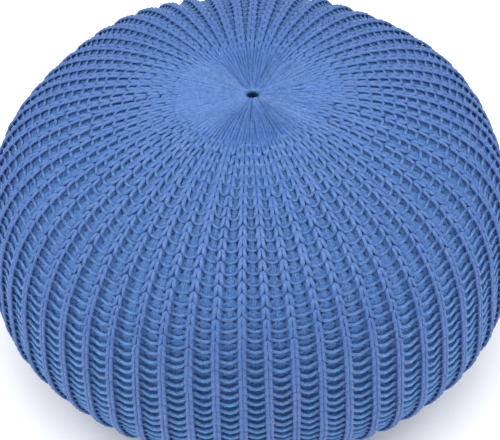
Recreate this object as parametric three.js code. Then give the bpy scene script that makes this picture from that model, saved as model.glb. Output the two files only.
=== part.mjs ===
// A round knitted pouf: a stuffed rib-knit cover with sixty ribs running from a gathered
// crown, over the sides, to the flat base it sits on. Millimetres, +Z up, origin at the
// centre of the base, the front of the pouf at -Y.
import * as THREE from "three";

// Overall size
const pouf = {
  width: 500, // across the rib crests at the widest point
  height: 300, // floor to the highest ring of the top
  girthHeight: 118, // height of the widest point
};

// Fullness of the outline above and below the widest point. The powers are those of a
// superellipse: 2 is a plain ellipse, more is squarer. The lower curve aims a little
// below the floor, and the floor cuts it off in the flat base.
const upper = { radialPower: 2.3, axialPower: 3.3 };
const lower = { radialPower: 2.3, axialPower: 3.0, belowFloor: 10 };

// The crown, where the cover is drawn together round a small hole
const crown = {
  hollowDepth: 5, // how far the middle sinks
  hollowRadius: 42,
  holeRadius: 5,
  holeDepth: 12,
};

// The ribs
const ribs = {
  count: 60,
  depth: 0.24, // groove depth as a share of the rib pitch
  fadeRadius: 60, // inside this the ribs die away into the gathers
};

// One rib from groove to groove: turn is a share of the pitch, sink a share of the depth
const ribSection = [
  { turn: 0.16, sink: 1 },
  { turn: 0.31, sink: 0 },
  { turn: 0.69, sink: 0 },
  { turn: 0.84, sink: 1 },
];

const outlineSamples = 1500;
const rings = 18; // rings of points between the hole's rim and the base

const knitBlue = new THREE.MeshStandardMaterial({
  color: 0x5b7cc4,
  roughness: 0.9,
  metalness: 0,
});

// The outline from the crown (t = 0) over the widest point (t = 90 degrees) downwards
function outlinePoint(t) {
  const radius = pouf.width / 2;
  const sine = Math.sin(t);
  const cosine = Math.abs(Math.cos(t));
  if (t < Math.PI / 2) {
    const r = radius * sine ** (2 / upper.radialPower);
    const rise = (pouf.height - pouf.girthHeight) * cosine ** (2 / upper.axialPower);
    const hollow = crown.hollowDepth * Math.exp(-((r / crown.hollowRadius) ** 2));
    return new THREE.Vector2(r, pouf.girthHeight + rise - hollow);
  }
  const r = radius * sine ** (2 / lower.radialPower);
  const drop = (pouf.girthHeight + lower.belowFloor) * cosine ** (2 / lower.axialPower);
  return new THREE.Vector2(r, pouf.girthHeight - drop);
}

// The outline as evenly spaced rings, from the hole's rim to the edge of the base
function ringOutline() {
  const fine = [];
  for (let i = 0; i <= outlineSamples; i++) {
    const point = outlinePoint((Math.PI * i) / outlineSamples);
    if (fine.length && point.y < 0) {
      const above = fine[fine.length - 1];
      fine.push(above.clone().lerp(point, above.y / (above.y - point.y)));
      break;
    }
    if (point.x >= crown.holeRadius) fine.push(point);
  }
  const travelled = [0];
  for (let i = 1; i < fine.length; i++) {
    travelled.push(travelled[i - 1] + fine[i].distanceTo(fine[i - 1]));
  }
  const total = travelled[travelled.length - 1];
  const points = [];
  let at = 1;
  for (let k = 0; k <= rings; k++) {
    const wanted = (total * k) / rings;
    while (at < fine.length - 1 && travelled[at] < wanted) at++;
    const share = (wanted - travelled[at - 1]) / (travelled[at] - travelled[at - 1]);
    points.push(fine[at - 1].clone().lerp(fine[at], share));
  }
  points[rings].y = 0;
  return points;
}

// How deep the grooves are at a radius
function grooveDepth(radius) {
  const pitch = (2 * Math.PI * radius) / ribs.count;
  return ribs.depth * pitch * Math.min(1, radius / ribs.fadeRadius);
}

// The outward normal of each ring, in the plane of the outline
function outlineNormals(points) {
  return points.map((point, k) => {
    const before = points[Math.max(0, k - 1)];
    const after = points[Math.min(points.length - 1, k + 1)];
    return new THREE.Vector2(before.y - after.y, after.x - before.x).normalize();
  });
}

// A lathe of the outline whose points are then set on the ribs and in the grooves
function knittedCover() {
  const outline = ringOutline();
  const normals = outlineNormals(outline);
  const last = outline.length - 1;
  normals[0].set(0, 1); // the rim of the hole sinks straight down
  normals[last].set(1, 0); // the edge of the base stays on the floor
  const holeBottom = new THREE.Vector2(0, outline[0].y - crown.holeDepth);
  const baseCentre = new THREE.Vector2(0, 0);
  const lathePoints = [baseCentre, ...outline.slice().reverse(), holeBottom];
  const columns = ribs.count * ribSection.length;
  const cover = new THREE.LatheGeometry(lathePoints, columns);
  const position = cover.getAttribute("position");
  for (let column = 0; column <= columns; column++) {
    const point = ribSection[column % ribSection.length];
    const rib = Math.floor(column / ribSection.length) % ribs.count;
    const turn = ((rib + point.turn) * 2 * Math.PI) / ribs.count;
    for (let k = 0; k <= last; k++) {
      const ring = outline[k];
      const sink = point.sink * grooveDepth(ring.x);
      const r = ring.x - sink * normals[k].x;
      const z = ring.y - sink * normals[k].y;
      const vertex = column * lathePoints.length + (last + 1 - k);
      position.setXYZ(vertex, r * Math.sin(turn), z, r * Math.cos(turn));
    }
  }
  cover.rotateX(Math.PI / 2); // the lathe's own axis is Y
  return cover;
}

const part = new THREE.Group();
const coverMesh = new THREE.Mesh(knittedCover(), knitBlue);
coverMesh.name = "knitted_cover";
part.add(coverMesh);

export default part;
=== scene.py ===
# A round knitted pouf: thick cotton cord in a deep rib knit over a stuffed body,
# gathered at the crown, on a pale floor in soft studio light.
import math

import bpy
import numpy as np
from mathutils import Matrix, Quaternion, Vector


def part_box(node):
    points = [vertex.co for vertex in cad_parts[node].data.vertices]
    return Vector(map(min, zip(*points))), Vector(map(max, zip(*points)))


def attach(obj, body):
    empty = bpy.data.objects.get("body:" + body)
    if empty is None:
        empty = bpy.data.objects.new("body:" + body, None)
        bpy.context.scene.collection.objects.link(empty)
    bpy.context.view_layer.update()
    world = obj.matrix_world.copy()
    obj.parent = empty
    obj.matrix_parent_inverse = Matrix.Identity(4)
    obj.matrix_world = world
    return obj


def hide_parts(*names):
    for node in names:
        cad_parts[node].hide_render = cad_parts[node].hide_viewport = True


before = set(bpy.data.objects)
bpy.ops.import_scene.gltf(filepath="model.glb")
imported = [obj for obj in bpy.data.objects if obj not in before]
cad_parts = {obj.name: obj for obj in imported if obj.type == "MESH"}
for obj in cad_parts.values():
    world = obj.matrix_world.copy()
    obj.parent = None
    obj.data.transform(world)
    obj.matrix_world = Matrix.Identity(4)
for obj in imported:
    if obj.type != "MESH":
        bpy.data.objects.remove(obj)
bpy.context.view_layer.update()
bpy.ops.object.select_all(action="DESELECT")
scene = bpy.context.scene
boxLow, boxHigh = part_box("knitted_cover")
mm = 0.001
fullTurn = 2 * math.pi


def ramp(value, zero, one):
    # 0 at the first limit, 1 at the second and flat beyond them. The first may be the higher one
    return np.clip((value - zero) / (one - zero), 0, 1)


# The photo's picture, in its own pixels
photo = {
    "size": (500, 440),
    "middle": (251.0, 220.9),  # where the camera's own axis meets it
}

camera = {
    "distance": 3.5,
    "elevation": 42.67,
    "lens": 264.1,
    "sensor": 36,
    "aim": 0.1358,  # height of the point looked at
    "roll": -1.66,
}


def makeCamera():
    elevation = math.radians(camera["elevation"])
    away = Vector((0, -math.cos(elevation), math.sin(elevation)))
    bpy.ops.object.camera_add(location=Vector((0, 0, camera["aim"])) + away * camera["distance"])
    eye = bpy.context.object
    eye.name = "camera"
    eye.rotation_mode = "QUATERNION"
    facing = (-away).to_track_quat("-Z", "Y")
    eye.rotation_quaternion = facing @ Quaternion((0, 0, 1), math.radians(camera["roll"]))
    eye.data.lens = camera["lens"]
    eye.data.sensor_width = camera["sensor"]
    width, height = photo["size"]
    eye.data.shift_x = -(photo["middle"][0] - width / 2) / width
    eye.data.shift_y = (photo["middle"][1] - height / 2) / width
    scene.camera = eye


makeCamera()
print("camera made")

# The outline that the rib crests follow, in millimetres
body = {
    "girth": (boxHigh.x - boxLow.x) / 2 / mm,  # radius at the widest point
    "girthHeight": 118,
    "rise": 182,
    "topPower": (2.3, 3.3),
    "drop": 128,
    "basePower": (2.3, 3.0),
    "hollow": (5, 42),  # depth and radius of the dip at the crown
    "ribs": 60,
    "grooveDepth": 0.24,  # as a share of the rib pitch
    "grooveFull": 60,  # radius from which the grooves are that deep
    "crowding": {3: 0.010, 4: 0.008},  # waves round the pouf that crowd the ribs, and their size
    "curveSteps": 900,
    "baseSteps": 140,
    "evenSteps": 1400,
}


def makeOutline():
    # Crown to base edge, then flat to the middle of the base: radius, height and way travelled
    depth, width = body["hollow"]
    top = np.linspace(0, math.pi / 2, body["curveSteps"])
    r = body["girth"] * np.sin(top) ** (2 / body["topPower"][0])
    z = body["girthHeight"] + body["rise"] * np.cos(top) ** (2 / body["topPower"][1])
    z -= depth * np.exp(-((r / width) ** 2))
    low = np.linspace(math.pi / 2, math.pi, body["curveSteps"])[1:]
    rLow = body["girth"] * np.sin(low) ** (2 / body["basePower"][0])
    zLow = body["girthHeight"] - body["drop"] * np.abs(np.cos(low)) ** (2 / body["basePower"][1])
    above = zLow > 0
    base = np.linspace(rLow[above][-1], 0, body["baseSteps"])[1:]
    r = np.concatenate([r, rLow[above], base])
    z = np.concatenate([z, zLow[above], np.zeros(len(base))])
    step = np.hypot(np.diff(r), np.diff(z))
    return r, z, np.concatenate([[0], np.cumsum(step)])


outlineR, outlineZ, outlineTravel = makeOutline()
evenTravel = np.linspace(0, outlineTravel[-1], body["evenSteps"])
evenR = np.interp(evenTravel, outlineTravel, outlineR)
evenZ = np.interp(evenTravel, outlineTravel, outlineZ)
slopeR = np.gradient(evenR, evenTravel)
slopeZ = np.gradient(evenZ, evenTravel)
coverEnd = evenTravel[-1]  # the middle of the base


def radiusAt(travel):
    return np.interp(travel, evenTravel, evenR)


def onOutline(turn, travel, lift):
    # A point and its normal, from the turn round the axis from the front, the travel from the
    # crown and the lift off the rib crests
    z = np.interp(travel, evenTravel, evenZ)
    outR = -np.interp(travel, evenTravel, slopeZ)
    outZ = np.interp(travel, evenTravel, slopeR)
    size = np.hypot(outR, outZ)
    outR, outZ = outR / size, outZ / size
    r = radiusAt(travel) + lift * outR
    point = np.stack([r * np.sin(turn), -r * np.cos(turn), z + lift * outZ], -1)
    normal = np.stack([outR * np.sin(turn), -outR * np.cos(turn), outZ], -1)
    return point, normal


def withMiddles(point):
    # The points of all rings, then one on the axis level with the first ring and one with the last
    verts = point.reshape(-1, 3)
    return np.concatenate([verts, [[0, 0, verts[0, 2]], [0, 0, verts[-1, 2]]]])


def closedFaces(rings, columns):
    # Quads between the rings, and a fan round each of the two middle points
    index = np.arange(rings * columns).reshape(rings, columns)
    above, below = index[:-1], index[1:]
    quads = np.stack([above, below, np.roll(below, -1, 1), np.roll(above, -1, 1)], -1)
    faces = quads.reshape(-1, 4).tolist()
    top, base = rings * columns, rings * columns + 1
    faces += [[top, index[0, k], index[0, (k + 1) % columns]] for k in range(columns)]
    faces += [[base, index[-1, (k + 1) % columns], index[-1, k]] for k in range(columns)]
    return faces


# The cover is blown up as cloth, from a slightly smaller and lumpy shape. Its unevenness is
# kept, and its average stays on the outline. Millimetres
swelling = {
    "columns": 96,
    "rings": 48,
    "span": (30, 600),  # by travel
    "held": (55, 470),  # above and below these it stays put
    "smaller": 4,
    "lumps": {2: 0.5, 3: 0.6, 5: 1.2, 8: 1.1},  # waves round the pouf and their size
    "lean": (0.004, 0.012),  # least and most that a wave turns in a millimetre of travel
    "bulges": [  # turn in degrees, travel and size of bulges and hollows
        (-50, 345, 6.5),
        (42, 375, 5.0),
        (90, 180, 3.0),
        (150, 170, -3.0),
        (-145, 170, -3.0),
    ],
    "bulgeWidth": 0.45,  # in radians
    "bulgeLength": 70,
    "fadeIn": (30, 120),  # by travel, from no lumps to all of them
    "fadeOut": (480, 390),
    "pressure": 8,
    "mass": 0.02,
    "frames": 20,
    "most": 8,  # the cloth counts as moved no further than this
    "seed": 5,
}


def blowUp(verts, faces, held):
    # Cloth with pressure inside and no gravity. Returns how far each point has moved, in millimetres
    mesh = bpy.data.meshes.new("blown_cover")
    mesh.from_pydata(verts * mm, [], faces)
    cover = bpy.data.objects.new("blown_cover", mesh)
    scene.collection.objects.link(cover)
    group = cover.vertex_groups.new(name="held")
    group.add(held.tolist(), 1.0, "REPLACE")
    cloth = cover.modifiers.new("cloth", "CLOTH")
    cloth.settings.vertex_group_mass = group.name
    cloth.settings.use_pressure = True
    cloth.settings.uniform_pressure_force = swelling["pressure"]
    cloth.settings.mass = swelling["mass"]
    cloth.settings.effector_weights.gravity = 0
    cloth.collision_settings.use_collision = False
    cloth.collision_settings.use_self_collision = False
    cloth.point_cache.frame_end = swelling["frames"]
    for frameNumber in range(1, swelling["frames"] + 1):
        scene.frame_set(frameNumber)
    blown = cover.evaluated_get(bpy.context.evaluated_depsgraph_get()).data
    ends = np.empty(len(blown.vertices) * 3)
    blown.vertices.foreach_get("co", ends)
    scene.frame_set(1)
    bpy.data.objects.remove(cover)
    bpy.data.meshes.remove(mesh)
    return ends.reshape(-1, 3) / mm - verts


def lumpyStart(turn, travel):
    # How far the cover stands off the outline before it is blown up
    rng = np.random.default_rng(swelling["seed"])
    lumps = np.zeros((travel.size, turn.size))
    for waves, size in swelling["lumps"].items():
        phase, lean = rng.uniform(0, fullTurn), rng.uniform(*swelling["lean"])
        lumps += size * np.sin(waves * turn + phase + lean * travel)
    for bulgeTurn, bulgeTravel, size in swelling["bulges"]:
        gap = (turn - math.radians(bulgeTurn) + math.pi) % fullTurn - math.pi
        across, along = gap / swelling["bulgeWidth"], (travel - bulgeTravel) / swelling["bulgeLength"]
        lumps += size * np.exp(-(across**2) - along**2)
    fade = ramp(travel, *swelling["fadeIn"]) * ramp(travel, *swelling["fadeOut"])
    return fade * lumps - swelling["smaller"]


def makeSwelling():
    # How far the blown cover stands off the outline: a row for each ring and a column for each turn
    columns, rings = swelling["columns"], swelling["rings"]
    turn = np.arange(columns) * fullTurn / columns
    travel = np.linspace(*swelling["span"], rings)[:, None]
    start = lumpyStart(turn, travel)
    flat = (rings, columns)
    point, normal = onOutline(np.broadcast_to(turn, flat), np.broadcast_to(travel, flat), start)
    verts = withMiddles(point)
    high, low = swelling["held"]
    held = np.flatnonzero(np.repeat((travel < high) | (travel > low), columns))
    held = np.append(held, [len(verts) - 2, len(verts) - 1])
    moved = blowUp(verts, closedFaces(rings, columns), held)[:-2].reshape(rings, columns, 3)
    out = start + np.clip((moved * normal).sum(-1), -swelling["most"], swelling["most"])
    return out - out.mean(1, keepdims=True)


swell = makeSwelling()
print("cover blown up, uneven by", float(np.abs(swell).max()), "mm at most")


def swellAt(turn, travel):
    # Between the four nearest points of the blown cover
    rings, columns = swell.shape
    row = ramp(travel, *swelling["span"]) * (rings - 1)
    column = turn / fullTurn * columns
    above = np.minimum(row.astype(int), rings - 2)
    before = np.floor(column).astype(int)
    down, across = row - above, column - before
    before, after = before % columns, (before + 1) % columns
    upper = swell[above, before] * (1 - across) + swell[above, after] * across
    lower = swell[above + 1, before] * (1 - across) + swell[above + 1, after] * across
    return upper * (1 - down) + lower * down


def onCover(turn, travel, lift):
    turn, travel, lift = np.broadcast_arrays(turn, travel, lift)
    return onOutline(turn, travel, lift + swellAt(turn, travel))


def grooveDepth(radius):
    pitch = fullTurn * radius / body["ribs"]
    return body["grooveDepth"] * pitch * np.minimum(1, radius / body["grooveFull"])


def unevenTurn(turn):
    # The ribs stand closer together in some places than in others
    moved = turn
    for waves, size in body["crowding"].items():
        moved = moved - size * np.sin(waves * turn)
    return moved


# The cord. Sizes in millimetres, and places by travel
cord = {
    "radii": [(100, 2.1), (150, 1.85), (220, 1.74), (330, 1.74), (450, 2.0)],
    "mostOfRib": 0.25,  # its radius is at most this share of the rib pitch
    "section": (1.10, 0.74),  # width against the radius, and depth against the width
    "drawnOut": [(220, 0.32), (320, 0.06)],  # how much thinner it is in the middle of a groove
    "ribEdge": 1.7,  # the bar in the groove starts this many radii from the rib's middle
    "lively": 10,  # half the rib pitch from which the cord strays in full
    "tucked": (74, 58),  # from here to here the first rows go down under the gathers
    "tuckDepth": 3.4,
    "tinted": (0.25, 0.875),  # way to the groove's middle in which the painted highlight on the groove's bars comes in
    "tintedFrom": (200, 320),  # by travel, in which the painted highlight grows from its least share to full
    "leastGrooveLit": 0.25,
    "sides": 8,
    "underSides": 4,  # where the cover turns under, out of sight
    "underFrom": 440,
    "rowPieces": 4,
    "strandSides": 4,
    "strandSize": 1.3,
    "firstRow": 56,
    "lastRow": 618,
    "rowHeights": [(56, 12.6), (115, 11.5), (190, 11.0), (290, 10.3), (340, 9.75), (365, 9.1), (400, 8.4)],
    "seed": 7,
}

# Half a stitch from the middle of the groove to the middle of the rib, by travel. Each point:
# share of the groove, across from the rib's middle in cord radii, down in rows, sunk in cord
# radii, and sunk as a share of the groove's depth
stitches = {
    95: [
        (1.00, 0.00, 1.10, 0.35, 0.60),
        (0.50, 0.00, 1.07, 0.35, 0.55),
        (0.14, 0.00, 1.00, 0.30, 0.35),
        (0.00, 1.42, 0.90, 0.15, 0.00),
        (0.00, 1.14, 0.70, 0.00, 0.00),
        (0.00, 0.96, 0.42, 0.00, 0.00),
        (0.00, 0.74, 0.08, 0.20, 0.00),
        (0.00, 0.00, -0.10, 0.75, 0.00),
    ],
    150: [
        (1.00, 0.00, 1.15, 0.30, 0.62),
        (0.50, 0.00, 1.08, 0.28, 0.58),
        (0.12, 0.00, 0.98, 0.22, 0.30),
        (0.00, 1.80, 0.92, 0.00, 0.04),
        (0.00, 1.36, 0.72, -0.06, 0.00),
        (0.00, 1.00, 0.44, -0.02, 0.00),
        (0.00, 0.80, 0.13, 0.20, 0.00),
        (0.00, 0.00, 0.00, 0.55, 0.00),
    ],
    220: [
        (1.00, 0.00, 1.18, 0.30, 0.78),
        (0.55, 0.00, 1.11, 0.28, 0.74),
        (0.16, 0.00, 0.98, 0.22, 0.50),
        (0.00, 1.85, 0.92, 0.02, 0.10),
        (0.00, 1.42, 0.72, -0.04, 0.00),
        (0.00, 1.05, 0.44, -0.02, 0.00),
        (0.00, 0.85, 0.13, 0.20, 0.00),
        (0.00, 0.00, -0.01, 0.62, 0.00),
    ],
    335: [
        (1.00, 0.00, 1.64, 0.10, 0.60),
        (0.50, 0.00, 1.46, 0.12, 0.60),
        (0.12, 0.00, 1.14, 0.25, 0.56),
        (0.00, 1.32, 1.02, 0.40, 0.25),
        (0.00, 1.20, 0.80, 0.00, 0.00),
        (0.00, 1.05, 0.42, 0.00, 0.00),
        (0.00, 0.94, 0.05, 0.22, 0.00),
        (0.00, 0.00, -0.12, 0.75, 0.00),
    ],
}
# The strand behind: from under the bar in the groove down behind the ribs
strands = {
    95: [
        (1.00, 0.00, 1.36, 1.10, 0.90),
        (0.45, 0.00, 1.60, 1.10, 0.90),
        (0.00, 1.20, 1.94, 1.40, 0.60),
        (0.00, 0.00, 2.04, 1.60, 0.50),
    ],
    150: [
        (1.00, 0.00, 1.25, 0.70, 0.68),
        (0.45, 0.00, 1.64, 0.90, 0.75),
        (0.00, 1.20, 1.94, 1.40, 0.55),
        (0.00, 0.00, 2.02, 2.00, 0.40),
    ],
    220: [
        (1.00, 0.00, 1.27, 0.75, 0.82),
        (0.45, 0.00, 1.64, 0.95, 0.85),
        (0.00, 1.20, 1.92, 1.40, 0.60),
        (0.00, 0.00, 2.02, 2.00, 0.40),
    ],
    335: [
        (1.00, 0.00, 1.88, 1.20, 0.95),
        (0.45, 0.00, 2.04, 1.30, 0.95),
        (0.00, 1.20, 2.26, 1.80, 0.70),
        (0.00, 0.00, 2.34, 2.00, 0.50),
    ],
}
# How the stitches stray: down in rows, across and sunk in millimetres, and thick as a share of
# the cord. Each: size of the slow part, how well it holds from row to row, and size of the part
# that is new in every stitch
straying = {
    "down": (0.08, 0.93, 0.05),
    "across": (0.45, 0.95, 0.10),
    "sunk": (0.35, 0.95, 0.12),
    "thick": (0.03, 0.9, 0.05),
}
# Near the crown the rows of neighbouring ribs don't line up. Size in rows, and fade by travel
looseRows = {"size": 0.24, "fade": (210, 100)}

# How the cord is laid out in strips for baking
baking = {
    "folds": 4,  # strips for each loop of cord
    "margin": 0.06,  # of a strip
}


def rowPlaces():
    # Where each row starts, and where the last one ends
    travel, heights = zip(*cord["rowHeights"])
    starts = [cord["firstRow"]]
    while starts[-1] < cord["lastRow"]:
        starts.append(starts[-1] + float(np.interp(starts[-1], travel, heights)))
    return np.array(starts)


def meshFrom(name, verts, faces, maps, marks):
    # maps are UV maps, one pair for each face corner, and marks are values, one for each vertex
    mesh = bpy.data.meshes.new(name)
    mesh.from_pydata(verts * mm, [], faces)
    mesh.shade_smooth()
    for key, values in maps.items():
        layer = mesh.uv_layers.new(name=key)
        layer.uv.foreach_set("vector", values.astype(np.float32).ravel())
    for key, values in marks.items():
        layer = mesh.attributes.new(key, "FLOAT", "POINT")
        layer.data.foreach_set("value", values.astype(np.float32).ravel())
    piece = bpy.data.objects.new(name, mesh)
    scene.collection.objects.link(piece)
    return piece


def cornerPairs(u0, u1, v0, v1):
    # The four corners of each face: u changes first, then v
    corners = ((u0, v0), (u1, v0), (u1, v1), (u0, v1))
    return np.stack([np.stack(corner, -1) for corner in corners], -2)


def sweepRings(paths, normals, wide, deep, sides):
    # paths is rows of closed loops: (loops, points, 3). Returns vertices, faces and UVs
    loops, count, _ = paths.shape
    tangent = np.roll(paths, -1, 1) - np.roll(paths, 1, 1)
    tangent /= np.linalg.norm(tangent, axis=-1, keepdims=True)
    side = np.cross(tangent, normals)
    side /= np.linalg.norm(side, axis=-1, keepdims=True)
    up = np.cross(side, tangent)
    around = np.linspace(0, fullTurn, sides, endpoint=False)
    ring = (
        paths[:, :, None]
        + side[:, :, None] * (np.cos(around)[:, None] * wide[..., None, None])
        + up[:, :, None] * (np.sin(around)[:, None] * deep[..., None, None])
    )
    index = np.arange(loops * count * sides).reshape(loops, count, sides)
    nextRing = np.roll(index, -1, 1)
    faces = np.stack([index, nextRing, np.roll(nextRing, -1, 2), np.roll(index, -1, 2)], -1)
    # Millimetres along the cord, and turns round it
    along = np.linalg.norm(np.roll(paths, -1, 1) - paths, axis=-1)
    along = np.concatenate([np.zeros((loops, 1)), np.cumsum(along, 1)], 1)
    u0 = np.broadcast_to(along[:, :-1, None], index.shape)
    u1 = np.broadcast_to(along[:, 1:, None], index.shape)
    v0 = np.broadcast_to(np.arange(sides) / sides, index.shape)
    cordMap = cornerPairs(u0, u1, v0, v0 + 1 / sides)
    # The same, folded into strips that fill the unit square
    folds, margin = baking["folds"], baking["margin"]
    strips, filled = loops * folds, 1 - 2 * margin
    spot = np.arange(count) * folds / count
    fold = spot.astype(int)
    u0 = np.broadcast_to((spot - fold)[None, :, None], index.shape)
    strip = (np.arange(loops)[:, None] * folds + fold)[..., None]
    v0 = (strip + margin + filled * np.arange(sides) / sides) / strips
    bakeMap = cornerPairs(u0, u0 + folds / count, v0, v0 + filled / sides / strips)
    return ring.reshape(-1, 3), faces.reshape(-1, 4), {"cord": cordMap, "OFBake": bakeMap}


def cordRadius(travel):
    most = cord["mostOfRib"] * fullTurn * radiusAt(travel) / body["ribs"]
    return np.minimum(np.interp(travel, *zip(*cord["radii"])), most)


def driftingNoise(rng, rows, keep):
    # One value for every rib in every row, changing slowly down each rib
    values = rng.normal(0, 1, (rows, body["ribs"]))
    for row in range(1, rows):
        values[row] = keep * values[row - 1] + math.sqrt(1 - keep * keep) * values[row]
    return values


rowEnds = rowPlaces()
places = rowEnds[:-1]
pitches = np.diff(rowEnds)


def makeUneven():
    rng = np.random.default_rng(cord["seed"])
    rows = len(places)
    stray = {}
    for key, (slow, keep, new) in straying.items():
        stray[key] = slow * driftingNoise(rng, rows, keep) + new * driftingNoise(rng, rows, 0)
    loose = ramp(places, *looseRows["fade"])[:, None]
    stray["down"] += looseRows["size"] * loose * rng.normal(0, 1, body["ribs"])
    return stray


uneven = makeUneven()
print("rows", len(places))


def unevenAt(key, rows, turn):
    # Between the middles of the ribs on either side. turn has a first axis for the rows
    spot = turn * body["ribs"] / fullTurn - 0.5
    low = np.floor(spot).astype(int)
    row = np.reshape(rows, (-1,) + (1,) * (turn.ndim - 1))
    before = uneven[key][row, low % body["ribs"]]
    after = uneven[key][row, (low + 1) % body["ribs"]]
    return before + (after - before) * (spot - low)


def blendedStitch(tables, here):
    # The stitch's columns for each row, between the tables on either side of its place
    keys = sorted(tables)
    stack = np.array([tables[key] for key in keys])
    flat = stack.reshape(len(keys), -1)
    spot = np.interp(here, keys, np.arange(len(keys)))
    low = np.minimum(spot.astype(int), len(keys) - 2)
    share = spot - low
    share = (share * share * (3 - 2 * share))[:, None]
    return (flat[low] * (1 - share) + flat[low + 1] * share).reshape(len(here), *stack.shape[1:])


def stitchPath(tables, rows):
    # The cord's way along each row: points, normals, radius, travel and nearness to the groove
    ribs = body["ribs"]
    table = blendedStitch(tables, places[rows])
    half = table.shape[1]
    # Groove middle to rib middle and back down the other side, without repeating the ends
    order = np.concatenate([np.arange(half), np.arange(half - 2, 0, -1)])
    mirror = np.concatenate([np.ones(half), -np.ones(half - 2)])
    groove, across, down, sunk, deep = [table[:, order, k][:, None] for k in range(5)]
    pitch = pitches[rows][:, None, None]
    travel = np.broadcast_to(places[rows][:, None, None] + down * pitch, (len(rows), ribs, len(order)))
    r = radiusAt(travel)
    radius = cordRadius(travel)
    grooveHalf = math.pi * r / ribs
    edge = np.minimum(cord["ribEdge"] * radius, grooveHalf)
    across = np.where(groove > 0, edge + (grooveHalf - edge) * groove, across * radius)
    across = np.minimum(across, grooveHalf)
    toGroove = across / grooveHalf
    fade = np.minimum(1, grooveHalf / cord["lively"])

    ribMiddle = (np.arange(ribs) + 0.5)[None, :, None] * fullTurn / ribs
    turn = ribMiddle - mirror * across / r
    travel = travel + unevenAt("down", rows, turn) * pitch
    sink = radius * (1 + sunk) + grooveDepth(r) * deep + np.abs(unevenAt("sunk", rows, turn)) * fade
    sink = sink + cord["tuckDepth"] * ramp(travel, *cord["tucked"])
    turn = turn + unevenAt("across", rows, turn) * fade / r
    point, normal = onCover(unevenTurn(turn), travel, -sink)
    thinner = np.interp(travel, *zip(*cord["drawnOut"])) * toGroove
    radius = radius * (1 + unevenAt("thick", rows, turn)) * (1 - thinner)
    return point, normal, radius, travel, toGroove


def knitRows(name, tables, rows, sides, size=1.0):
    point, normal, radius, travel, toGroove = stitchPath(tables, rows)
    width, depth = cord["section"]
    flat = (len(rows), -1)
    wide = radius.reshape(flat) * size * width
    paths, normals = point.reshape(*flat, 3), normal.reshape(*flat, 3)
    verts, faces, maps = sweepRings(paths, normals, wide, wide * depth, sides)
    verts[:, 2] = np.maximum(verts[:, 2], 0)
    # The painted highlight on the bars in the grooves, stronger lower down
    lowDown = np.maximum(ramp(travel, *cord["tintedFrom"]), cord["leastGrooveLit"])
    inGroove = np.repeat(ramp(toGroove, *cord["tinted"]) * lowDown, sides)
    return meshFrom(name, verts, faces, maps, {"inGroove": inGroove})


# The yarn. Colours are linear. Each noise has its scale, detail and roughness. Each range has
# the two values that come in, then the two that they turn into
yarnLook = {
    "groove": (0.060, 0.250, 0.580),  # where the light catches the bars between the ribs
    # painted shadow inside the hole, and in the deepest pits of the body
    "hole": (0.004, 0.012, 0.035),
    # darker tone that the fibres and specks mix in at random, and painted shade in the valleys between
    # strands and deep in the body
    "deep": (0.024, 0.092, 0.284),
    "fade": (0.085, 0.163, 0.390),  # where the dye took less
    "fadeNoise": (55.0, 2.0, 0.55),
    "fadeRange": (0.38, 0.68, 0.0, 0.55),
    "speckNoise": (330.0, 2.0, 0.6),
    "speckRange": (0.32, 0.68, -0.35, 0.55),
    "fibreShade": 0.35,
    "roughRange": (0.3, 0.7, 0.48, 0.64),
    "shineTint": (0.70, 0.86, 1.0),
    "sheen": 0.10,
    "sheenRoughness": 0.4,
    "sheenTint": (0.45, 0.65, 1.0),
}
finishes = {
    "knit_yarn": {
        "colour": (0.049, 0.121, 0.358),
        "relief": 0.30,  # millimetres
        "valleyShade": 0.27,  # how much painted shade darkens it between the strands
        "lumps": 0.0,
        "grain": 0.9,  # how much the shine is drawn out across the fibres
        "shine": 1.0,
    },
    "gathered_yarn": {
        # painted light: lighter than the knit yarn, as the crown's smooth gathered cords are lit more
        # brightly
        "colour": (0.076, 0.176, 0.455),
        "relief": 1.6,
        "valleyShade": 0.2,
        "lumps": 0.0,
        "grain": 0.9,
        "shine": 1.0,
    },
    "inner_yarn": {
        "colour": (0.072, 0.176, 0.420),
        "relief": 1.2,
        "valleyShade": 0.3,
        "lumps": 1.0,
        "grain": 0.0,
        "shine": 0.5,
    },
}
twisted = {
    "plies": 4,
    "twist": 17,  # millimetres for a strand to go once round the cord
    "strandPower": 0.6,  # less makes the strands flatter, with sharper valleys
    "strandHeight": 0.75,
    "fibreAlong": 0.12,  # less makes the fibres longer
    "fibreNoise": (7.0, 3.0, 0.6),
    "fibreHeight": 0.35,
}
drawnTogether = {
    "wanderAlong": 0.05,  # less makes the cords wander more slowly on their way in
    "wanderNoise": (1.0, 2.0, 0.5),
    "wander": 1.2,  # in cords
    "cordPower": 0.7,
    "valleyRange": (0.35, 0.65, 0.35, 1.0),
    "fibreAlong": 0.35,
    "fibreAround": 7.0,
    "fibreNoise": (1.0, 3.0, 0.6),
    "fibreHeight": 0.2,
}


def nodeMaker(tree):
    # add(kind, inputs..., settings) makes a node. An input is a value or another node's output
    def add(kind, *values, **settings):
        node = tree.nodes.new("ShaderNode" + kind)
        for key, value in settings.items():
            setattr(node, key, value)
        sockets = [socket for socket in node.inputs if socket.enabled]
        for socket, value in zip(sockets, values):
            if isinstance(value, bpy.types.NodeSocket):
                tree.links.new(value, socket)
            else:
                socket.default_value = value
        return next(socket for socket in node.outputs if socket.enabled)

    return add


def startGroup(name, inputs):
    # A node group with these inputs, and outputs for the cords' height, valleys and fibres
    group = bpy.data.node_groups.new(name, "ShaderNodeTree")
    for key in inputs:
        group.interface.new_socket(key, in_out="INPUT", socket_type="NodeSocketFloat")
    for key in ("Height", "Valley", "Fibre"):
        group.interface.new_socket(key, in_out="OUTPUT", socket_type="NodeSocketFloat")
    return group, group.nodes.new("NodeGroupInput"), group.nodes.new("NodeGroupOutput")


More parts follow.
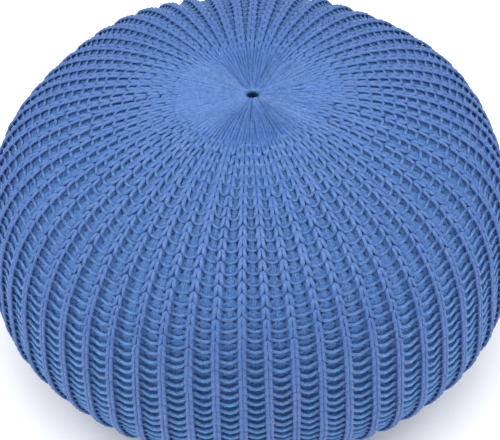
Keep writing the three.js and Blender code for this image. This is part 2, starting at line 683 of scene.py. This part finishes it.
def cordGroup():
    # Twisted strands and fine fibres of a cord, from the way along it and round it
    group, come, leave = startGroup("twisted_cord", ("Along", "Around"))
    add = nodeMaker(group)
    along, around = come.outputs["Along"], come.outputs["Around"]
    turned = add("Math", along, 1 / twisted["twist"], operation="MULTIPLY")
    turned = add("Math", turned, around, operation="ADD")
    angle = add("Math", turned, fullTurn, operation="MULTIPLY")
    ridge = add("Math", angle, twisted["plies"] / 2, operation="MULTIPLY")
    ridge = add("Math", ridge, operation="SINE")
    ridge = add("Math", ridge, operation="ABSOLUTE")
    ridge = add("Math", ridge, twisted["strandPower"], operation="POWER")
    valley = add("Math", 1.0, ridge, operation="SUBTRACT")
    # Fibres lie along the strands: noise on the turned cord, drawn out lengthways
    x = add("Math", angle, operation="COSINE")
    y = add("Math", angle, operation="SINE")
    z = add("Math", along, twisted["fibreAlong"], operation="MULTIPLY")
    place = add("CombineXYZ", x, y, z)
    fibre = add("TexNoise", place, *twisted["fibreNoise"], noise_dimensions="3D")
    height = add("Math", ridge, twisted["strandHeight"], operation="MULTIPLY")
    height = add("Math", fibre, twisted["fibreHeight"], height, operation="MULTIPLY_ADD")
    group.links.new(height, leave.inputs["Height"])
    group.links.new(valley, leave.inputs["Valley"])
    group.links.new(fibre, leave.inputs["Fibre"])
    return group


def gatheredGroup():
    # Cords drawn close together side by side. Size is 1 where they are at their full width
    group, come, leave = startGroup("gathered_cords", ("Along", "Around", "Size"))
    add = nodeMaker(group)
    along, around = come.outputs["Along"], come.outputs["Around"]
    sway = add("Math", along, drawnTogether["wanderAlong"], operation="MULTIPLY")
    place = add("CombineXYZ", around, sway, 0.0)
    wander = add("TexNoise", place, *drawnTogether["wanderNoise"], noise_dimensions="3D")
    across = add("Math", wander, drawnTogether["wander"], around, operation="MULTIPLY_ADD")
    across = add("Math", across, math.pi, operation="MULTIPLY")
    crest = add("Math", across, operation="SINE")
    crest = add("Math", crest, operation="ABSOLUTE")
    crest = add("Math", crest, drawnTogether["cordPower"], operation="POWER")
    valley = add("Math", 1.0, crest, operation="SUBTRACT")
    strong = add("MapRange", wander, *drawnTogether["valleyRange"])
    valley = add("Math", valley, strong, operation="MULTIPLY")
    fineAlong = add("Math", along, drawnTogether["fibreAlong"], operation="MULTIPLY")
    fineAround = add("Math", around, drawnTogether["fibreAround"], operation="MULTIPLY")
    place = add("CombineXYZ", fineAround, fineAlong, 0.0)
    fibre = add("TexNoise", place, *drawnTogether["fibreNoise"], noise_dimensions="3D")
    height = add("Math", fibre, drawnTogether["fibreHeight"], operation="MULTIPLY")
    height = add("Math", height, valley, operation="SUBTRACT")
    height = add("Math", height, come.outputs["Size"], operation="MULTIPLY")
    group.links.new(height, leave.inputs["Height"])
    group.links.new(valley, leave.inputs["Valley"])
    group.links.new(fibre, leave.inputs["Fibre"])
    return group


twistedCord = cordGroup()
gatheredCords = gatheredGroup()


def yarnMaterial(name, group):
    finish = finishes[name]
    material = bpy.data.materials.new(name)
    material.use_nodes = True
    tree = material.node_tree
    add = nodeMaker(tree)
    shader = tree.nodes["Principled BSDF"]
    cordMap = tree.nodes.new("ShaderNodeUVMap")
    cordMap.uv_map = "cord"
    split = tree.nodes.new("ShaderNodeSeparateXYZ")
    tree.links.new(cordMap.outputs["UV"], split.inputs[0])
    surface = tree.nodes.new("ShaderNodeGroup")
    surface.node_tree = group
    tree.links.new(split.outputs["X"], surface.inputs["Along"])
    tree.links.new(split.outputs["Y"], surface.inputs["Around"])

    def mark(key):
        # A value from the mesh, 0 on pieces without it
        node = tree.nodes.new("ShaderNodeAttribute")
        node.attribute_name = key
        return node.outputs["Fac"]

    def blend(share, below, above):
        return add("Mix", share, below, (*above, 1), data_type="RGBA")

    if group == gatheredCords:
        tree.links.new(mark("cordSize"), surface.inputs["Size"])
    place = tree.nodes.new("ShaderNodeTexCoord").outputs["Object"]
    patches = add("TexNoise", place, *yarnLook["fadeNoise"], noise_dimensions="3D")
    patches = add("MapRange", patches, *yarnLook["fadeRange"])
    # Painted highlight on the bars in the grooves
    colour = blend(mark("inGroove"), (*finish["colour"], 1), yarnLook["groove"])
    colour = blend(patches, colour, yarnLook["fade"])
    # Painted shade in the valleys between the strands and deep in the body, mixed with the fibres' and
    # specks' own tone
    shade = add("Math", surface.outputs["Valley"], finish["valleyShade"], operation="MULTIPLY")
    shade = add("Math", surface.outputs["Fibre"], yarnLook["fibreShade"], shade, operation="MULTIPLY_ADD")
    specks = add("TexNoise", place, *yarnLook["speckNoise"], noise_dimensions="3D")
    specks = add("MapRange", specks, *yarnLook["speckRange"])
    shade = add("Math", shade, specks, operation="ADD", use_clamp=True)
    shade = add("Math", shade, mark("deepness"), operation="MAXIMUM")
    colour = blend(shade, colour, yarnLook["deep"])
    # Painted shadow in the hole and in the deepest pits
    colour = blend(mark("inHole"), colour, yarnLook["hole"])
    tree.links.new(colour, shader.inputs["Base Color"])
    rough = add("MapRange", surface.outputs["Fibre"], *yarnLook["roughRange"])
    tree.links.new(rough, shader.inputs["Roughness"])
    relief = tree.nodes.new("ShaderNodeBump")
    relief.inputs["Strength"].default_value = 1.0
    relief.inputs["Distance"].default_value = finish["relief"] * mm
    height = add("Math", specks, -finish["lumps"], surface.outputs["Height"], operation="MULTIPLY_ADD")
    tree.links.new(height, relief.inputs["Height"])
    tree.links.new(relief.outputs["Normal"], shader.inputs["Normal"])
    # Fibres shine across their length, so cords that lie across the light are brighter
    fibreWay = tree.nodes.new("ShaderNodeTangent")
    fibreWay.direction_type = "UV_MAP"
    fibreWay.uv_map = "cord"
    tree.links.new(fibreWay.outputs["Tangent"], shader.inputs["Tangent"])
    shader.inputs["Anisotropic"].default_value = finish["grain"]
    shader.inputs["Anisotropic Rotation"].default_value = 0.25  # a quarter turn
    shader.inputs["Sheen Weight"].default_value = yarnLook["sheen"]
    shader.inputs["Sheen Roughness"].default_value = yarnLook["sheenRoughness"]
    shader.inputs["Sheen Tint"].default_value = (*yarnLook["sheenTint"], 1)
    shader.inputs["Specular IOR Level"].default_value = finish["shine"]
    shader.inputs["Specular Tint"].default_value = (*yarnLook["shineTint"], 1)
    return material


knitYarn = yarnMaterial("knit_yarn", twistedCord)
gatheredYarn = yarnMaterial("gathered_yarn", gatheredCords)
innerYarn = yarnMaterial("inner_yarn", gatheredCords)
print("yarn made")

openRows = np.flatnonzero(places < cord["underFrom"])
underRows = np.flatnonzero(places >= cord["underFrom"])
rowPieces = []
for number, rows in enumerate(np.array_split(openRows, cord["rowPieces"])):
    rowPieces.append(knitRows("knit_rows_%d" % (number + 1), stitches, rows, cord["sides"]))
rowPieces.append(knitRows("under_rows", stitches, underRows, cord["underSides"]))
rowPieces.append(knitRows("groove_strands", strands, openRows, cord["strandSides"], cord["strandSize"]))
print("rows knitted")

# Where the cover is drawn together, at the crown and under the base. Millimetres, with places
# as radii
gather = {
    "parts": (0, 0.09, 0.25, 0.41, 0.5, 0.59, 0.75, 0.91),  # columns across a rib, which has two cords
    "rings": 44,
    "ringPower": 0.8,  # less than 1 puts the rings closer together towards the hole
    "cordDepth": 1.3,
    "cordPower": 0.8,
    "cordUneven": (0.7, 1.2),
    "cordRise": (50, 0.12),  # where the cords are at their full depth, and the least share of it
    "creaseWidth": 0.9,
    "creaseDepth": 3.2,
    "creaseStrength": (0.3, 1.0),
    "creaseRise": (22, 0.35),  # the same for the creases
    "creaseFade": (5, 16),  # way from a crease's end to its full depth
    "endless": -30,  # every fourth crease between the ribs runs on into the hole
    "longCreases": (0, 12),  # every fourth one ends here
    "shortCreases": (6, 34),  # and the others here
    "ribCreases": (0.15, 0.7),  # shares of the outer radius, where those down the ribs end
    "mixed": 1.2,  # how far the ends are shuffled, in ribs
    "rowCreases": (45, 65, 0.9),  # towards the rows all creases come to this strength
    "fold": 0.6,
    "foldWaves": (7, 11, 16, 23),
    "foldLean": 0.006,
    "foldFade": (12, 1.25),  # way from the hole, and share of the outer radius where they end
    "drift": 0.35,
    "driftWaves": (3, 5, 9, 14),
    "driftLean": (0.03, 0.08),
    "driftFrom": 20,  # inwards from the outer edge
    "lip": (5, 2.5, 4),  # width, power and depth of the rounded rim of the hole
    "tuck": (16, 2.4),  # width and depth of the outer edge, which goes under the first row
    "sunk": 0.2,
    "squash": (0.15, -0.15),  # how much longer and shorter the hole is than round
    "squashPower": 4,  # with which that comes in towards the hole
    "offsetPower": 1.5,
    "wall": 22,  # depth of the hole
    "wallShade": (0.3, 0.97, 1),  # of its last rings
    "fullCords": 45,  # from here the cords have their full width
    "fan": (0.97, 0.98),  # share of the bake map for the rings, and where the hole's bottom starts
}
# Places by travel. The crown's hole lies to the right of the axis and behind it
crownHole = {"outer": 84, "inner": 4.2, "hole": 4.2, "offset": (5.4, 3.4), "seed": 11}
baseHole = {"outer": coverEnd - 74, "inner": coverEnd - 5, "hole": 5, "offset": (0, 0), "seed": 12}


def gatherCreases(rng, r, turn):
    # Fine creases: between the ribs, and down the middle of each rib where they come in
    ribs = body["ribs"]
    ends = np.full((ribs, 2), 0.0)
    ends[0::4, 0] = gather["endless"]
    ends[2::4, 0] = rng.uniform(*gather["longCreases"], len(ends[2::4]))
    ends[1::2, 0] = rng.uniform(*gather["shortCreases"], len(ends[1::2]))
    ends[:, 1] = r[0] * rng.uniform(*gather["ribCreases"], ribs)
    mixed = np.argsort(np.arange(ribs) + rng.uniform(-gather["mixed"], gather["mixed"], ribs))
    ends[:, 0] = ends[mixed, 0]
    ends = ends.ravel()
    creaseTurn = ((np.arange(ribs)[:, None] + (0, 0.5)) * fullTurn / ribs).ravel()
    strength = rng.uniform(*gather["creaseStrength"], ends.size)
    start, end, atRows = gather["rowCreases"]
    strength = strength + (atRows - strength) * ramp(r[:, None], start, end)
    depth = strength * np.clip((r[:, None] - ends) / rng.uniform(*gather["creaseFade"], ends.size), 0, 1)
    full, least = gather["creaseRise"]
    depth *= gather["creaseDepth"] * np.clip(r[:, None] / full, least, 1)
    gap = np.abs((turn[:, None] - creaseTurn + math.pi) % fullTurn - math.pi)
    away = gap[None] * r[:, None, None] / gather["creaseWidth"]
    return (depth[:, None] * np.exp(-away)).max(-1)


def gatherCords(rng, r):
    # The two cords of each rib
    parts, ribs = gather["parts"], body["ribs"]
    crest = np.abs(np.sin(fullTurn * np.tile(parts, ribs))) ** gather["cordPower"]
    size = rng.uniform(*gather["cordUneven"], ribs).repeat(len(parts))
    full, least = gather["cordRise"]
    return gather["cordDepth"] * np.clip(r / full, least, 1)[:, None] * (1 - crest) * size


def gatherFolds(rng, r, turn, hole):
    # Broad soft folds
    start, end = gather["foldFade"]
    window = (np.clip((r - hole) / start, 0, 1) * np.clip(end - r / r[0], 0, 1))[:, None]
    folds = np.zeros((r.size, turn.size))
    for waves in gather["foldWaves"]:
        phase, lean = rng.uniform(0, fullTurn), rng.normal(0, gather["foldLean"])
        folds += gather["fold"] * window * (1 + np.sin(waves * turn + phase + lean * r[:, None]))
    return folds


def gatherDrift(rng, r, turn):
    # How far the cords wander sideways, as a turn
    drift = np.zeros((r.size, turn.size))
    for waves in gather["driftWaves"]:
        phase, lean = rng.uniform(0, fullTurn), rng.uniform(*gather["driftLean"])
        drift += gather["drift"] * np.sin(waves * turn + phase + lean * r[:, None])
    return drift * np.clip((r[0] - r) / gather["driftFrom"], 0, 1)[:, None] / r[:, None]


def gatherMaps(inwards, flip):
    # inwards is the way in from the outer edge for each ring
    parts, ribs = gather["parts"], body["ribs"]
    rings, columns = len(inwards), ribs * len(parts)

    def corners(down, across):
        flat = (rings - 1, columns)
        u0, u1 = np.broadcast_to(down[:-1, None], flat), np.broadcast_to(down[1:, None], flat)
        v0, v1 = np.broadcast_to(across[:-1], flat), np.broadcast_to(across[1:], flat)
        return cornerPairs(v0, v1, u0, u1)[..., ::-1]

    # Each rib carries two cords side by side
    cordEdge = np.append(np.tile(parts, ribs) + np.repeat(np.arange(ribs), len(parts)), ribs) * 2
    bakeEdge = np.arange(columns + 1) / columns
    ringShare, fanStart = gather["fan"]
    cordMap = corners(inwards, cordEdge)
    bakeMap = corners(np.arange(rings) / (rings - 1) * ringShare, bakeEdge)
    fan = np.stack([
        np.stack([np.full(columns, 1.0), (bakeEdge[:-1] + bakeEdge[1:]) / 2], -1),
        np.stack([np.full(columns, fanStart), bakeEdge[:-1]], -1),
        np.stack([np.full(columns, fanStart), bakeEdge[1:]], -1),
    ], -2)
    if flip:
        cordMap, bakeMap, fan = cordMap[..., ::-1, :], bakeMap[..., ::-1, :], fan[..., [0, 2, 1], :]
    return {
        "cord": np.concatenate([cordMap.reshape(-1, 2), fan.reshape(-1, 2)]),
        "OFBake": np.concatenate([bakeMap.reshape(-1, 2), fan.reshape(-1, 2)]),
    }


def gatherFaces(rings, columns, flip):
    # Quads between the rings, and a fan round the middle of the hole's bottom
    index = np.arange(rings * columns).reshape(rings, columns)
    outside, inside = index[:-1], index[1:]
    quads = np.stack([outside, np.roll(outside, -1, 1), np.roll(inside, -1, 1), inside], -1)
    last, following = index[-1], np.roll(index[-1], -1)
    if flip:
        quads = quads[..., ::-1]
        last, following = following, last
    fan = np.stack([np.full(columns, rings * columns), last, following], -1)
    return quads.reshape(-1, 4).tolist() + fan.tolist()


def gatheredCover(name, place):
    outer, inner, hole = place["outer"], place["inner"], place["hole"]
    atCrown = outer > inner
    rng = np.random.default_rng(place["seed"])
    ribs = body["ribs"]
    travel = outer + (inner - outer) * np.linspace(0, 1, gather["rings"]) ** gather["ringPower"]
    r = np.maximum(radiusAt(travel), hole)
    turn = ((np.arange(ribs)[:, None] + gather["parts"]) * fullTurn / ribs).ravel()
    sink = gatherCreases(rng, r, turn)
    sink += gatherCords(rng, r)
    sink += gatherFolds(rng, r, turn, hole)
    drift = gatherDrift(rng, r, turn)
    lipWidth, lipPower, lipDepth = gather["lip"]
    tuckWidth, tuckDepth = gather["tuck"]
    lip = np.clip(1 - (r - hole) / lipWidth, 0, 1) ** lipPower * lipDepth
    tuck = np.clip((r - r[0] + tuckWidth) / tuckWidth, 0, 1) * tuckDepth
    sink += (lip + tuck + gather["sunk"])[:, None]
    point, _ = onCover(unevenTurn(turn + drift), travel[:, None], -sink)
    toMiddle = (1 - r / r[0])[:, None]
    for axis in (0, 1):
        point[..., axis] *= 1 + gather["squash"][axis] * toMiddle ** gather["squashPower"]
        point[..., axis] += place["offset"][axis] * toMiddle ** gather["offsetPower"]

    # The wall of the hole goes down at the crown and up at the base
    wall = point[-1:].copy()
    wall[..., 2] += -gather["wall"] if atCrown else gather["wall"]
    point = np.concatenate([point, wall])
    rings, columns = point.shape[:2]
    verts = np.concatenate([point.reshape(-1, 3), point[-1].mean(0)[None]])
    verts[:, 2] = np.maximum(verts[:, 2], 0)
    wayIn = -1 if atCrown else 1
    wallTravel = 2 * travel[-1] - travel[-2] + gather["wall"] * wayIn
    inwards = (np.append(travel, wallTravel) - outer) * wayIn
    # Painted shadow on the hole's last rings
    inHole = np.zeros((rings, columns))
    inHole[-len(gather["wallShade"]):] = np.array(gather["wallShade"])[:, None]
    cordSize = np.repeat(np.append(r, hole) / gather["fullCords"], columns).clip(0, 1)
    faces = gatherFaces(rings, columns, not atCrown)
    return meshFrom(name, verts, faces, gatherMaps(inwards, not atCrown), {
        "inHole": np.append(inHole.ravel(), 1),
        "cordSize": np.append(cordSize, 0),
    })


gathers = [gatheredCover("crown_gathers", crownHole), gatheredCover("base_gathers", baseHole)]
for piece in rowPieces:
    piece.data.materials.append(knitYarn)
for piece in gathers:
    piece.data.materials.append(gatheredYarn)
knitPieces = rowPieces + gathers
for piece in knitPieces:
    print(piece.name, sum(len(face.vertices) - 2 for face in piece.data.polygons), "triangles")


# The stuffed body that shows between the cords, from the middle of a groove to the middle of a
# rib. At the top each stitch has a deep pit on either side of the rib and one between its legs
stuffing = {
    "shares": (0.00, 0.15, 0.23, 0.31, 0.50),  # of the rib pitch
    "grooves": (0.85, 0.88, 0.88, 0.58, 0.00),  # sunk as a share of the groove's depth
    "phases": (0.10, 0.40, 0.78),  # rings in each row of stitches, as shares of the row
    "top": [  # sunk in cord radii, one line for each ring
        (1.70, 1.45, 1.70, 1.60, 2.00),
        (0.80, 1.15, 3.10, 1.90, 1.50),
        (0.60, 0.80, 1.30, 1.60, 2.50),
    ],
    "side": (2.20, 2.30, 2.80, 2.20, 1.60),
    "toSide": (230, 340),  # by travel
    "shallower": ((110, 260), (0.70, 0.95)),  # by travel, as shares
    "endGap": 4,  # the first and last rings are this far from the middles of crown and base
    "crownRings": 8,
    "crownGap": 3,  # between the last of these and the first row
    "underRings": 18,
    "follow": (30, 40),  # ways in which its pits start and stop following the stitches
    "underGathers": (90, 70, 5),  # radii in which it sinks this far under the gathers
    "underHole": (10, 30),  # radius and depth of its dip under the crown's hole
    "shade": (1.0, 2.6),  # cord radii in which painted shade comes in on it
    "shadeLimits": (0.30, 0.9),
    "pitShade": (2.3, 3.1, 0.4),  # cord radii in which the pits take the painted shadow of the hole, and how much
    "darkRadius": 16,  # inside this it has the painted shadow at the bottom of the crown's hole
    "cordSize": 0.6,
    "bakeEdges": (0.02, 0.018),  # of the bake map, where the rings start and the fans end
}


def bodyRings():
    # A few rings inside the first row, some in each open row, then a few under the pouf: their
    # travel, row of stitches and number in that row
    phases = np.array(stuffing["phases"])
    gap = stuffing["endGap"]
    crown = np.linspace(gap, places[0] - stuffing["crownGap"], stuffing["crownRings"])
    inRows = (places[openRows][:, None] + phases * pitches[openRows][:, None]).ravel()
    under = np.linspace(inRows[-1], coverEnd - gap, stuffing["underRings"] + 1)[1:]
    first, last = np.zeros(len(crown), int), np.zeros(len(under), int)
    row = np.concatenate([first, np.repeat(openRows, len(phases)), last + openRows[-1]])
    phase = np.concatenate([first, np.tile(np.arange(len(phases)), len(openRows)), last])
    return np.concatenate([crown, inRows, under]), row, phase


def bodyMaps(rings, columns):
    ringStart, fanEnd = stuffing["bakeEdges"]
    down = ringStart + (1 - 2 * ringStart) * np.arange(rings) / (rings - 1)
    edge = np.arange(columns + 1) / columns
    flat = (rings - 1, columns)
    u0, u1 = np.broadcast_to(edge[:-1], flat), np.broadcast_to(edge[1:], flat)
    v0, v1 = np.broadcast_to(down[:-1, None], flat), np.broadcast_to(down[1:, None], flat)
    quads = cornerPairs(v0, v1, u0, u1)[..., ::-1]
    middles = (edge[:-1] + edge[1:]) / 2
    low, high = np.full(columns, 0.0), np.full(columns, fanEnd)
    topFan = [(middles, low), (edge[:-1], high), (edge[1:], high)]
    baseFan = [(middles, 1 - low), (edge[1:], 1 - high), (edge[:-1], 1 - high)]
    fans = [np.stack([np.stack(corner, -1) for corner in fan], -2) for fan in (topFan, baseFan)]
    bakeMap = np.concatenate([part.reshape(-1, 2) for part in (quads, *fans)])
    cordMap = (bakeMap * np.array([columns, coverEnd]))[:, ::-1]
    return {"cord": cordMap, "OFBake": bakeMap}


def stuffedBody():
    ribs = body["ribs"]
    mirrored = [0, 1, 2, 3, 4, 3, 2, 1]
    shares = np.array(stuffing["shares"])[mirrored]
    shares[5:] = 1 - shares[5:]
    grooves = np.array(stuffing["grooves"])[mirrored]
    top = np.array(stuffing["top"])[:, mirrored]
    side = np.array(stuffing["side"])[mirrored]
    turn = ((np.arange(ribs)[:, None] + shares) * fullTurn / ribs).ravel()
    travel, row, phase = bodyRings()
    r = radiusAt(travel)
    rings, columns = len(travel), len(turn)

    # The pits, in cord radii, and the painted shadow in the deepest
    toSide = ramp(travel, *stuffing["toSide"])[:, None]
    radii = top[phase] * (1 - toSide) + side * toSide
    start, end, most = stuffing["pitShade"]
    pits = np.tile(ramp(radii, start, end) * most * (1 - toSide), (1, ribs))
    radii = radii * np.interp(travel, *stuffing["shallower"])[:, None]
    sink = cordRadius(travel)[:, None] * radii + grooveDepth(r)[:, None] * grooves

    # Under the gathers and the crown's hole
    start, end, most = stuffing["underGathers"]
    width, depth = stuffing["underHole"]
    middle = ramp(r, start, end) * most + depth * np.exp(-((r / width) ** 2))
    sink = np.tile(sink + middle[:, None], (1, ribs))

    # The pits stray with the stitches
    begin, stop = stuffing["follow"]
    follow = ramp(travel, places[0], places[0] + begin)
    follow = (follow * ramp(travel, cord["underFrom"], cord["underFrom"] - stop))[:, None]
    turns = np.broadcast_to(turn, (rings, columns))
    down = unevenAt("down", row, turns) * pitches[row][:, None] * follow
    across = unevenAt("across", row, turns) * follow / r[:, None]
    point, _ = onCover(unevenTurn(turns + across), travel[:, None] + down, -sink)

    # Painted shade: some everywhere on the body, more the deeper it lies
    shallow, deep = stuffing["shade"]
    deepness = np.tile(np.clip((radii - shallow) / (deep - shallow), *stuffing["shadeLimits"]), (1, ribs))
    inHole = np.maximum(r[:, None] < stuffing["darkRadius"], pits)
    verts = withMiddles(point)
    return meshFrom("stuffed_body", verts, closedFaces(rings, columns), bodyMaps(rings, columns), {
        "deepness": np.append(deepness.ravel(), [1, 1]),
        "cordSize": np.full(len(verts), stuffing["cordSize"]),
        "inHole": np.append(inHole.ravel(), [1, 0]),
    })


core = stuffedBody()
core.data.materials.append(innerYarn)
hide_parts("knitted_cover")
for piece in [core, *knitPieces]:
    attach(piece, "root")
print("body made")


studio = {
    "world": 0.52,
    "floor": 0.96,
    "floorSize": 12,
    "floorRoughness": 0.9,
    "aim": (0, 0, 0.1),  # the point that the lights face
    "lights": [  # name, place, size and power
        ("top_light", (0, -0.3, 3.0), 2.8, 51),
        ("left_light", (-2.2, -0.5, 2.0), 2.4, 56),
        ("right_light", (2.2, -0.5, 2.0), 2.4, 52),
        ("front_light", (0, -2.6, 1.9), 2.0, 12),
    ],
}


def makeStage():
    bpy.ops.mesh.primitive_plane_add(size=studio["floorSize"], location=(0, 0, 0))
    floor = bpy.context.object
    floor.name = "floor"
    paint = bpy.data.materials.new("pale_floor")
    paint.use_nodes = True
    shader = paint.node_tree.nodes["Principled BSDF"]
    shader.inputs["Base Color"].default_value = (*[studio["floor"]] * 3, 1)
    shader.inputs["Roughness"].default_value = studio["floorRoughness"]
    floor.data.materials.append(paint)
    world = bpy.data.worlds.new("studio")
    world.use_nodes = True
    world.node_tree.nodes["Background"].inputs["Color"].default_value = (1, 1, 1, 1)
    world.node_tree.nodes["Background"].inputs["Strength"].default_value = studio["world"]
    scene.world = world
    for name, place, size, power in studio["lights"]:
        bpy.ops.object.light_add(type="AREA", location=place)
        light = bpy.context.object
        light.name = name
        light.data.shape = "DISK"
        light.data.size = size
        light.data.energy = power
        facing = Vector(studio["aim"]) - light.location
        light.rotation_euler = facing.to_track_quat("-Z", "Y").to_euler()


makeStage()
scene.view_settings.view_transform = "Standard"
